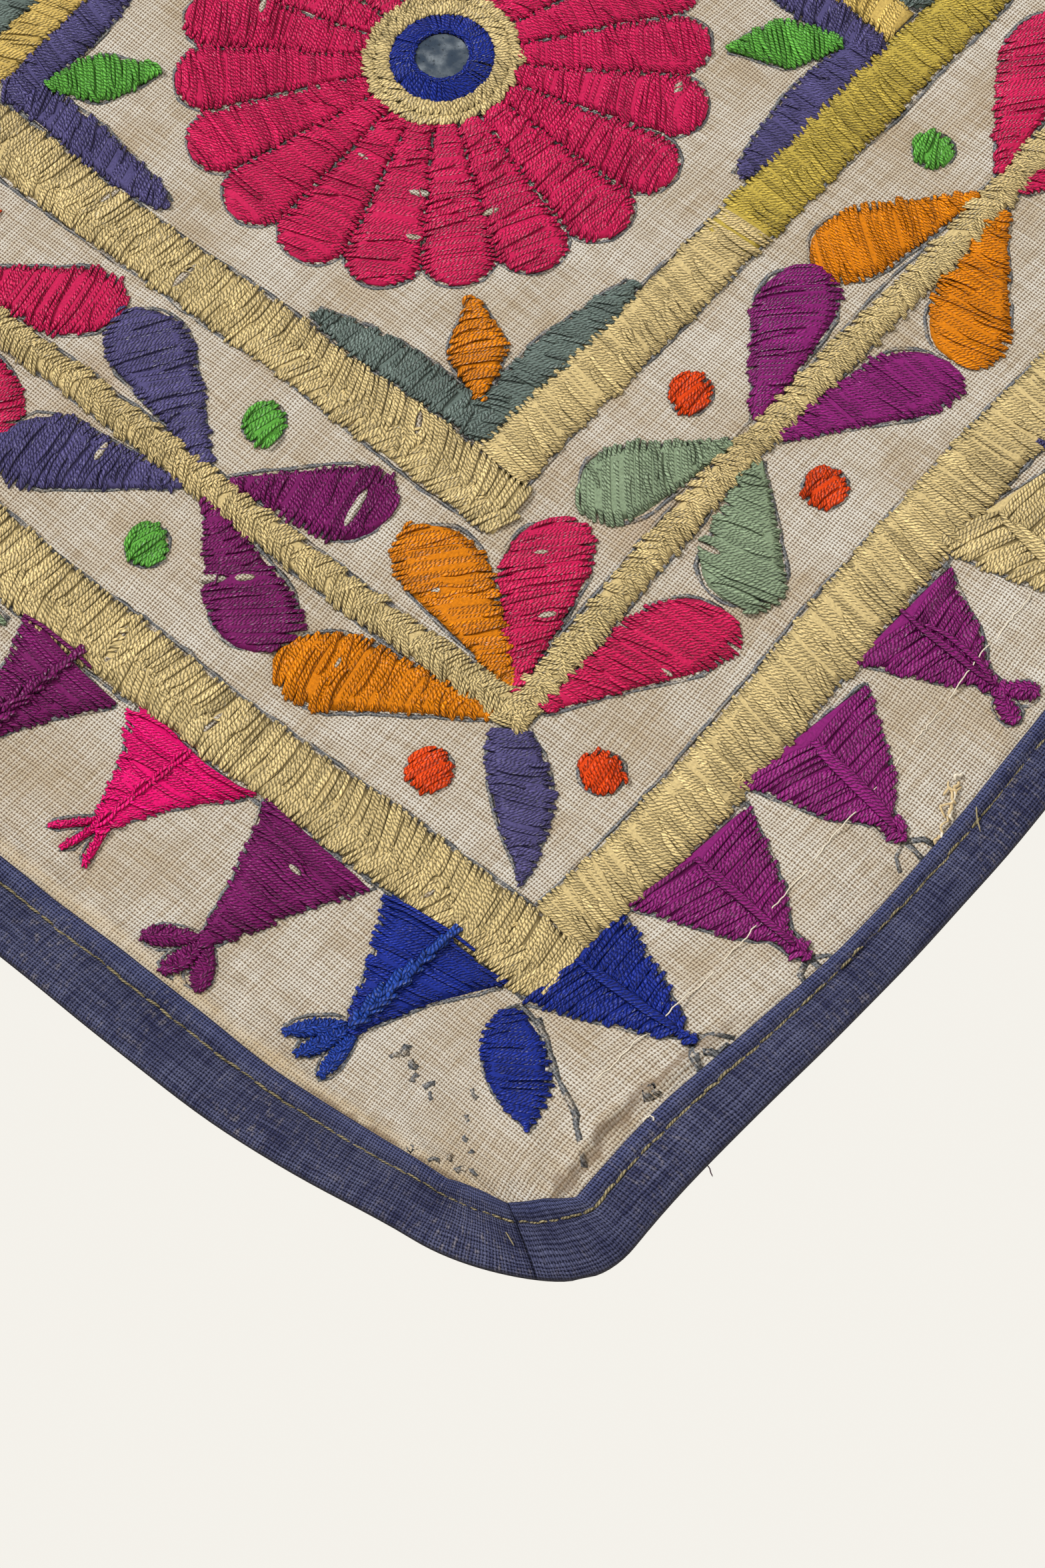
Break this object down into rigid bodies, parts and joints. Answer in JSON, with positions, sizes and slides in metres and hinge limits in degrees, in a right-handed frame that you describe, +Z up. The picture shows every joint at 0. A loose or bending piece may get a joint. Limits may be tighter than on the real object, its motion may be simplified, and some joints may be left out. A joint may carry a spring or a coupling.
{
  "type": "embroidered wall hanging",
  "caption": "Square cotton hanging worked in floss: flower fields with mirrors inside a border of leaves and pennants, its edge bound with folded tape.",
  "frame": {"origin": "middle of the top edge, at the middle of the cloth's thickness", "axes": "+Z up the hanging cloth, +X along its top edge, and its worked face looks towards -Y"},
  "size_m": [0.8238, 0.014, 0.8245],
  "materials": {
    "ground_cloth": "plain weave cotton with floss",
    "binding_tape": "plain weave cotton, worn",
    "mirror_glass": "dim, old silvering"
  },
  "bodies": {
    "root": {"ground_cloth": "ground_cloth", "binding_foot": "binding_tape", "binding_right": "binding_tape", "binding_top": "binding_tape", "binding_left": "binding_tape", "mirror_1": "mirror_glass", "mirror_2": "mirror_glass", "mirror_3": "mirror_glass", "mirror_4": "mirror_glass", "mirror_5": "mirror_glass", "mirror_6": "mirror_glass", "mirror_7": "mirror_glass", "mirror_8": "mirror_glass", "mirror_9": "mirror_glass"}
  },
  "joints": []
}
